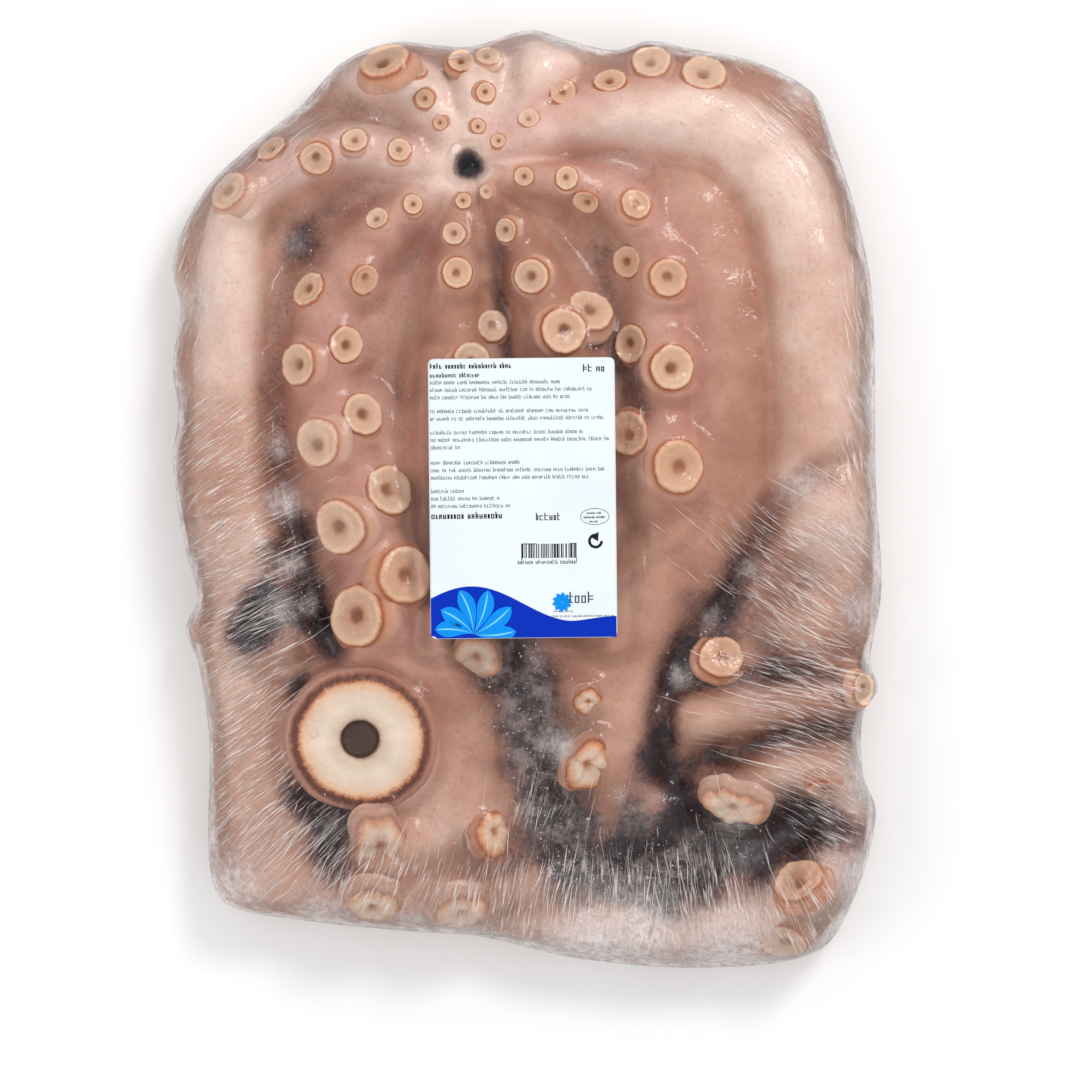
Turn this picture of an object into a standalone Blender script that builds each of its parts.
"""A raw whole octopus, cleaned, folded flat and frozen into a block, in clear film with a paper label.

Metres, +Z up.  The block lies on its flat underside with the suckers up, and its origin is on the
ground under its middle.  +Y points to the end with the mouth.  Plan lengths and heights below are in
millimetres, and turn into metres when a mesh is made.
"""
import math

import bmesh
import bpy
import numpy as np
from mathutils import Vector
from mathutils.geometry import delaunay_2d_cdt

MM = 0.001

# The block from above: points on its edge, anticlockwise from the top.
EDGE = [(3, 256), (-30, 247), (-71, 249), (-100, 238), (-118, 218), (-152, 191), (-176, 166), (-192, 130),
        (-188, 104), (-192, 72), (-189, 47), (-192, 20), (-185, -28), (-178, -54), (-185, -71), (-178, -90),
        (-172, -134), (-172, -199), (-163, -221), (-122, -230), (-64, -236), (-24, -239), (30, -251),
        (100, -256), (160, -247), (180, -218), (192, -172), (185, -150), (185, -117), (193, -104), (189, -88),
        (195, -50), (192, 10), (190, 110), (181, 157), (167, 200), (157, 222), (125, 239), (90, 246),
        (68, 250), (50, 245), (25, 250)]
EDGE_STEPS = 150           # points round each level of the side
EQUATOR = 28.0             # height where the side bulges most
TOP_ROUND = 30.0           # how far in from the edge the top is still falling
FOOT_ROUND = 20.0          # how far in from the edge the flat underside starts
SIDE_LEVELS = 5            # levels from the bulge down to the ground

# Heights of the folded flesh.
FLOOR = 54.0               # frozen flesh and glaze between the arms
ARM_DROP = 17.0            # how far an arm's round back has fallen at its half width
ARM_BLEND = 9.0            # how softly neighbouring arms run together

# Each arm or fold: its route, half width at start and end, crest height at start and end.
FOLDS = {
    "left outer arm": ([(-46, 181), (-100, 188), (-149, 165), (-160, 92), (-159, 0), (-143, -68)], 14, 27, 66, 70),
    "left inner arm": ([(-46, 168), (-95, 122), (-109, 86), (-96, 16), (-76, -49), (-79, -109)], 15, 27, 64, 70),
    "left middle arm": ([(-34, 165), (-38, 108), (-41, 27)], 10, 24, 62, 68),
    "right middle arm": ([(-19, 168), (12, 108), (24, 32)], 10, 26, 62, 69),
    "right inner arm": ([(-14, 174), (19, 172), (52, 160), (71, 135), (73, 103), (73, 5)], 11, 27, 64, 68),
    "right outer arm": ([(-16, 190), (62, 209), (106, 200), (138, 173), (166, 81), (176, -1)], 14, 35, 66, 72),
    "web": ([(90, 151), (117, 54), (106, -1), (84, -39), (62, -71), (54, -142)], 33, 30, 64, 62),
    "top left arm": ([(-38, 190), (-52, 214), (-84, 238)], 14, 24, 65, 64),
    "top arm": ([(-27, 192), (-24, 236)], 11, 19, 65, 64),
    "top fold": ([(-14, 200), (12, 239)], 13, 22, 65, 64),
    "right lower arm": ([(187, -6), (179, -33), (174, -66)], 22, 22, 64, 64),
    "upper finger": ([(90, -123), (149, -109), (182, -104)], 14, 14, 66, 64),
    "lower finger": ([(106, -161), (160, -144), (185, -142)], 13, 13, 62, 62),
    "lower right arm": ([(-14, -237), (62, -239), (144, -218), (171, -191), (183, -163)], 20, 20, 58, 62),
    "coiled arm": ([(-71, -82), (-46, -104), (-33, -131), (-38, -163), (-79, -201)], 22, 22, 66, 62),
    "lower left arm": ([(-155, -77), (-149, -142), (-138, -212)], 24, 24, 61, 59),
    "lower edge arm": ([(-138, -212), (-68, -220), (-30, -223)], 17, 16, 54, 54),
    "arm tip": ([(11, -77), (41, -104)], 16, 12, 64, 60),
    "small bump": ([(46, -185), (90, -158)], 13, 13, 55, 55),
}

# Each crease between folds: its route, half width and depth.
CREASES = {
    "left valley": ([(-98, 160), (-129, 119), (-136, 54), (-127, -11), (-111, -66)], 8, 6),
    "middle groove": ([(-12, 154), (-13, 115), (-8, 73)], 4, 5),
    "right valley": ([(176, 24), (149, 8), (114, -44), (81, -90), (78, -147), (90, -169)], 9, 7),
    "inner right groove": ([(41, 130), (47, 86), (62, 48)], 8, 4),
    "finger crease": ([(78, -104), (138, -96), (166, -98)], 5, 4),
    "lower finger crease": ([(90, -144), (144, -128), (182, -128)], 5, 4),
    "lower right hollow": ([(19, -201), (84, -196), (171, -188)], 14, 6),
    "left notch": ([(-149, -77), (-112, -77), (-122, -98)], 8, 5),
    "top left step": ([(-128, 209), (-100, 214), (-52, 200)], 8, 4),
    "frosted hollow": ([(-11, -90), (3, -120), (14, -153), (19, -191)], 20, 4),
}

# Each row of suckers: the line it follows, how many, first and last radius.
SUCKER_ROWS = [
    ([(-67, 187), (-116, 182), (-161, 168)], 3, 6.5, 11.5),
    ([(-91, 192), (-140, 192)], 2, 7, 9),
    ([(-79, 150), (-85, 124), (-97, 77), (-88, 44), (-73, 0), (-65, -42)], 6, 6.5, 16),
    ([(-115, 112), (-120, 70), (-109, 28), (-97, -18), (-88, -63)], 5, 10, 17),
    ([(-33, 160), (-38, 138), (-36, 121)], 3, 4.5, 8.5),
    ([(-20, 165), (-2, 131), (21, 90)], 4, 4, 12.5),
    ([(0, 173), (42, 154), (57, 126), (59, 84), (57, 35)], 5, 5.5, 12.5),
    ([(23, 172), (66, 152), (78, 113), (79, 62), (82, 17)], 5, 6.5, 14.5),
    ([(-14, 192), (1, 203), (19, 218), (46, 224), (66, 242), (99, 237)], 6, 4, 12.5),
    ([(-25, 200), (-21, 218), (-20, 239)], 3, 4, 7),
    ([(-45, 202), (-53, 214), (-59, 231)], 3, 4, 6.5),
]
# Suckers that lie on their own among the folds: place and radius.
LONE_SUCKERS = [(-60, 158, 5.5), (-18, 93, 9), (-29, 73, 11), (35, 100, 13), (-34, 238, 7.5), (-76, 238, 14),
                (-79, -184, 18), (-81, -220, 17), (-35, -224, 17), (-18, -182, 14), (-26, -85, 15),
                (34, -144, 15), (34, -108, 9), (106, -86, 12), (115, -163, 13), (163, -155, 11),
                (186, -101, 9), (149, -207, 14), (141, -238, 12)]
GIANT_SUCKER = (-88, -130, 37)
SUCKER_RISE = 0.40         # height of a sucker's rim over its radius
SUCKER_RIM = 0.86          # radius of the rim's crest over the sucker's own
SUCKER_FOOT = 1.22         # radius where the sucker meets the arm
CUP_DEPTH = 0.45           # depth of the cup over the rim's height
RING_POINTS = 11           # points round a ring of a common sucker
GIANT_RING_POINTS = 24

# The paper label, laid flat over the film.
LABEL_SIZE = (100.0, 150.0)
LABEL_CENTRE = (-0.8, 0.0)
LABEL_TURN = 0.6           # degrees, anticlockwise
LABEL_CORNER = 3.0
LABEL_THICKNESS = 0.3
LABEL_GAP = 0.3            # clear space between the label and the film
PLATEAU = 73.0             # height of the film drawn flat under the label
PLATEAU_MARGIN = 5.0
PLATEAU_FALL = 13.0

POINT_SPACING = 9.3        # plain spacing of the points over the top
CLOSEST = 3.0              # points nearer than this to a kept point are dropped
EDGE_RINGS = (0.13, 0.42)  # rings of points near the edge, as a share of the way to the flat underside
EDGE_CLEAR = 12.5          # the plain spread of points keeps this far from the edge


def cubic_pieces(points, spans, slopes, steps):
    """Cubic from each point to the next, leaving and arriving along the given slopes."""
    t = np.linspace(0, 1, steps, endpoint=False)[None, :, None]
    start, end = points[:-1, None], points[1:, None]
    leave, arrive = slopes[:-1, None] * spans[:, None, None], slopes[1:, None] * spans[:, None, None]
    curve = (2 * t**3 - 3 * t**2 + 1) * start + (3 * t**2 - 2 * t**3) * end
    curve = curve + (t**3 - 2 * t**2 + t) * leave + (t**3 - t**2) * arrive
    return curve.reshape(-1, 2)


def smooth_loop(corners, count):
    """Closed smooth curve through the corners, read at equal steps."""
    points = np.array(corners + corners[:1], float)
    spans = np.linalg.norm(np.diff(points, axis=0), axis=1)
    before = np.vstack([points[-2], points[:-1]])
    after = np.vstack([points[1:], points[1]])
    reach = np.append(spans, spans[0]) + np.append(spans[-1], spans)
    curve = cubic_pieces(points, spans, (after - before) / reach[:, None], 24)
    return even_steps(np.vstack([curve, curve[:1]]), count + 1)[:-1]


def smooth_path(corners, steps=10):
    """Open smooth curve through the corners, or a straight line when there are only two."""
    points = np.array(corners, float)
    spans = np.linalg.norm(np.diff(points, axis=0), axis=1)
    if len(points) == 2:
        return points
    slopes = np.gradient(points, np.append(0, np.cumsum(spans)), axis=0)
    return np.vstack([cubic_pieces(points, spans, slopes, steps), points[-1:]])


def even_steps(curve, count):
    """The curve read again at equal distances along it."""
    along = np.append(0, np.cumsum(np.linalg.norm(np.diff(curve, axis=0), axis=1)))
    marks = np.linspace(0, along[-1], count)
    return np.column_stack([np.interp(marks, along, curve[:, axis]) for axis in (0, 1)])


def nearest_on_path(places, path):
    """Distance from each place to the path, and how far along the path that is, from 0 to 1."""
    start, run = path[:-1], np.diff(path, axis=0)
    lengths = np.linalg.norm(run, axis=1)
    offset = places[:, None] - start[None]
    share = np.clip((offset * run).sum(2) / (run**2).sum(1), 0, 1)
    gap = np.linalg.norm(offset - share[..., None] * run, axis=2)
    nearest = gap.argmin(1)
    row = np.arange(len(places))
    along = np.append(0, np.cumsum(lengths))[nearest] + share[row, nearest] * lengths[nearest]
    return gap[row, nearest], along / lengths.sum()


def soft_step(value):
    """0 below 0, 1 above 1, and a smooth rise between."""
    value = np.clip(value, 0, 1)
    return value * value * (3 - 2 * value)


def higher_of(a, b, blend):
    """The higher of two surfaces, rounded where they meet."""
    closeness = np.clip(1 - np.abs(a - b) / blend, 0, 1)
    return np.maximum(a, b) + closeness**2 * blend / 4


def all_suckers():
    """Place and radius of every common sucker.  Along a row the steps grow as the suckers do."""
    found = list(LONE_SUCKERS)
    for route, count, first, last in SUCKER_ROWS:
        radii = np.linspace(first, last, count)
        steps = np.append(0, np.cumsum(np.sqrt(radii[1:] + radii[:-1])))
        path = even_steps(smooth_path(route), 400)
        marks = np.rint(steps / steps[-1] * 399).astype(int)
        found += list(zip(path[marks, 0], path[marks, 1], radii))
    return found


def sucker_shape(distance, radius):
    """Height a sucker adds: a round wall up to the rim, and a shallow cup inside it."""
    reach = distance / radius
    wall = soft_step((SUCKER_FOOT - reach) / (SUCKER_FOOT - SUCKER_RIM))
    cup = CUP_DEPTH * soft_step(1 - reach / SUCKER_RIM)
    return SUCKER_RISE * min(radius, 24) * (wall - cup)


def label_distance(places):
    """Distance outside the label's rectangle, 0 inside it."""
    turn = math.radians(LABEL_TURN)
    axes = np.array([[math.cos(turn), -math.sin(turn)], [math.sin(turn), math.cos(turn)]])
    beyond = np.abs((places - LABEL_CENTRE) @ axes) - np.array(LABEL_SIZE) / 2
    return np.linalg.norm(np.maximum(beyond, 0), axis=1)


def top_height(places, edge):
    """Height of the film over each place: arms, creases, suckers, label plateau and rounded edge."""
    height = np.full(len(places), FLOOR)
    for route, start_width, end_width, start_crest, end_crest in FOLDS.values():
        distance, share = nearest_on_path(places, smooth_path(route))
        width = start_width + (end_width - start_width) * share
        crest = start_crest + (end_crest - start_crest) * share
        height = higher_of(height, crest - ARM_DROP * (distance / width)**2, ARM_BLEND)
    for route, width, depth in CREASES.values():
        distance, _ = nearest_on_path(places, smooth_path(route))
        height = height - depth * np.exp(-(distance / width)**2)
    for x, y, radius in all_suckers() + [GIANT_SUCKER]:
        distance = np.hypot(places[:, 0] - x, places[:, 1] - y)
        height = height + sucker_shape(distance, radius)
    flat = soft_step(1 - (label_distance(places) - PLATEAU_MARGIN) / PLATEAU_FALL)
    height = height + (PLATEAU - height) * flat
    inward, _ = nearest_on_path(places, np.vstack([edge, edge[:1]]))
    fall = np.sqrt(1 - (1 - np.clip(inward / TOP_ROUND, 0, 1))**2)
    return EQUATOR + (height - EQUATOR) * fall


def inner_loop(edge):
    """A smoothed copy of the edge, one foot rounding further in: where the flat underside starts."""
    reach = len(edge) // 12
    smooth = np.mean([np.roll(edge, shift, 0) for shift in range(-reach // 2, reach // 2 + 1)], axis=0)
    heading = np.roll(smooth, -1, 0) - np.roll(smooth, 1, 0)
    inward = np.column_stack([-heading[:, 1], heading[:, 0]]) / np.linalg.norm(heading, axis=1)[:, None]
    return smooth + inward * FOOT_ROUND


def ring(x, y, radius, count, turn=0.0):
    """Points round a circle."""
    angle = np.arange(count) * 2 * math.pi / count + turn
    return np.column_stack([x + radius * np.cos(angle), y + radius * np.sin(angle)])


def label_outline(margin):
    """The label's rectangle with round corners, grown by a margin, anticlockwise."""
    half = np.array(LABEL_SIZE) / 2
    radius = LABEL_CORNER + margin
    corners = []
    for index, sign in enumerate([(1, 1), (-1, 1), (-1, -1), (1, -1)]):
        middle = (half - LABEL_CORNER) * sign
        angle = np.radians(np.linspace(0, 90, 5) + 90 * index)
        corners.append(middle + radius * np.column_stack([np.cos(angle), np.sin(angle)]))
    points = np.vstack(corners)
    turn = math.radians(LABEL_TURN)
    spin = np.array([[math.cos(turn), math.sin(turn)], [-math.sin(turn), math.cos(turn)]])
    return points @ spin + LABEL_CENTRE


def top_places(edge, inner):
    """Where the top's corners go: the edge, rings in from it, rings on each sucker, and an even spread."""
    places = np.vstack([edge] + [edge + (inner - edge) * share for share in EDGE_RINGS]
                       + [label_outline(PLATEAU_MARGIN - 1)])
    x, y, radius = GIANT_SUCKER
    offers = [ring(x, y, radius * share, GIANT_RING_POINTS) for share in (0.45, 0.7, SUCKER_RIM, SUCKER_FOOT)]
    offers.append(np.array([[x, y]]))
    for x, y, radius in all_suckers():
        offers.append(np.array([[x, y]]))
        for share in (0.5, SUCKER_RIM, SUCKER_FOOT):
            offers.append(ring(x, y, radius * share, RING_POINTS, share))
    low, high = edge.min(0), edge.max(0)
    for index, row in enumerate(np.arange(low[1], high[1], POINT_SPACING * math.sqrt(0.75))):
        columns = np.arange(low[0], high[0], POINT_SPACING) + (index % 2) * POINT_SPACING / 2
        offers.append(np.column_stack([columns, np.full(len(columns), row)]))
    spread = np.vstack(offers)
    closed = np.vstack([edge, edge[:1]])
    inside = inside_loop(spread, edge) & (nearest_on_path(spread, closed)[0] > EDGE_CLEAR)
    for place in spread[inside]:
        if np.hypot(*(places - place).T).min() > CLOSEST:
            places = np.vstack([places, place])
    return places


def inside_loop(places, loop):
    """Which places lie inside a closed loop, by counting the sides that a line to the right crosses."""
    x, y = places[:, :1], places[:, 1:]
    start, end = loop, np.roll(loop, -1, 0)
    crosses = (start[:, 1] > y) != (end[:, 1] > y)
    rise = np.where(end[:, 1] == start[:, 1], 1e-9, end[:, 1] - start[:, 1])
    meets = start[:, 0] + (y - start[:, 1]) * (end[:, 0] - start[:, 0]) / rise
    return (crosses & (x < meets)).sum(1) % 2 == 1


def octopus_mesh():
    """Corners and faces of the wrapped block: a triangulated top, a round side and a flat underside."""
    edge = smooth_loop(EDGE, EDGE_STEPS)
    inner = inner_loop(edge)
    places = top_places(edge, inner)
    outline = [(i, (i + 1) % EDGE_STEPS) for i in range(EDGE_STEPS)]
    flat = [Vector(place) for place in places.tolist()]
    found = delaunay_2d_cdt(flat, outline, [], 1, 1e-6)
    places, sources = np.array([tuple(v) for v in found[0]]), found[3]
    edge_of = {source: index for index, origins in enumerate(sources) for source in origins}
    level_above = [edge_of[index] for index in range(EDGE_STEPS)]
    corners = np.column_stack([places, top_height(places, edge)]).tolist()
    faces = [list(face) for face in found[2]]
    for level in range(1, SIDE_LEVELS + 1):
        angle = 0.5 * math.pi * level / SIDE_LEVELS
        loop = edge + (inner - edge) * (1 - math.cos(angle))
        first = len(corners)
        corners += [[x, y, EQUATOR * (1 - math.sin(angle))] for x, y in loop]
        for index, following in outline:
            faces.append([level_above[following], level_above[index], first + index, first + following])
        level_above = list(range(first, first + EDGE_STEPS))
    faces.append(level_above[::-1])
    return corners, faces


def label_mesh():
    """Corners and faces of the label: a thin flat plate with round corners."""
    outline = label_outline(0.0)
    count = len(outline)
    low = PLATEAU + LABEL_GAP
    corners = [[x, y, low] for x, y in outline] + [[x, y, low + LABEL_THICKNESS] for x, y in outline]
    faces = [list(range(count))[::-1], list(range(count, 2 * count))]
    for index in range(count):
        following = (index + 1) % count
        faces.append([index, following, count + following, count + index])
    return corners, faces


def material(name, colour, roughness):
    """Plain material of one colour."""
    made = bpy.data.materials.new(name)
    made.use_nodes = True
    shader = made.node_tree.nodes["Principled BSDF"]
    shader.inputs["Base Color"].default_value = (*colour, 1.0)
    shader.inputs["Roughness"].default_value = roughness
    shader.inputs["Metallic"].default_value = 0.0
    return made


def add_object(name, corners, faces, centre, finish):
    """Object from corners in millimetres, moved so that the block's middle is over the origin."""
    mesh = bpy.data.meshes.new(name)
    moved = (np.array(corners) - [centre[0], centre[1], 0.0]) * MM
    mesh.from_pydata(moved.tolist(), [], faces)
    mesh.materials.append(finish)
    shaped = bmesh.new()
    shaped.from_mesh(mesh)
    bmesh.ops.triangulate(shaped, faces=[face for face in shaped.faces if len(face.verts) == 4])
    bmesh.ops.recalc_face_normals(shaped, faces=shaped.faces)
    shaped.to_mesh(mesh)
    shaped.free()
    made = bpy.data.objects.new(name, mesh)
    bpy.context.collection.objects.link(made)
    return made


for old in list(bpy.data.objects):
    bpy.data.objects.remove(old)

edge_line = smooth_loop(EDGE, EDGE_STEPS)
middle = (edge_line.min(0) + edge_line.max(0)) / 2
flesh_in_film = material("flesh in clear film", (0.60, 0.38, 0.29), 0.35)
label_paper = material("label paper", (0.86, 0.87, 0.90), 0.6)
add_object("wrapped_octopus", *octopus_mesh(), middle, flesh_in_film)
add_object("label", *label_mesh(), middle, label_paper)
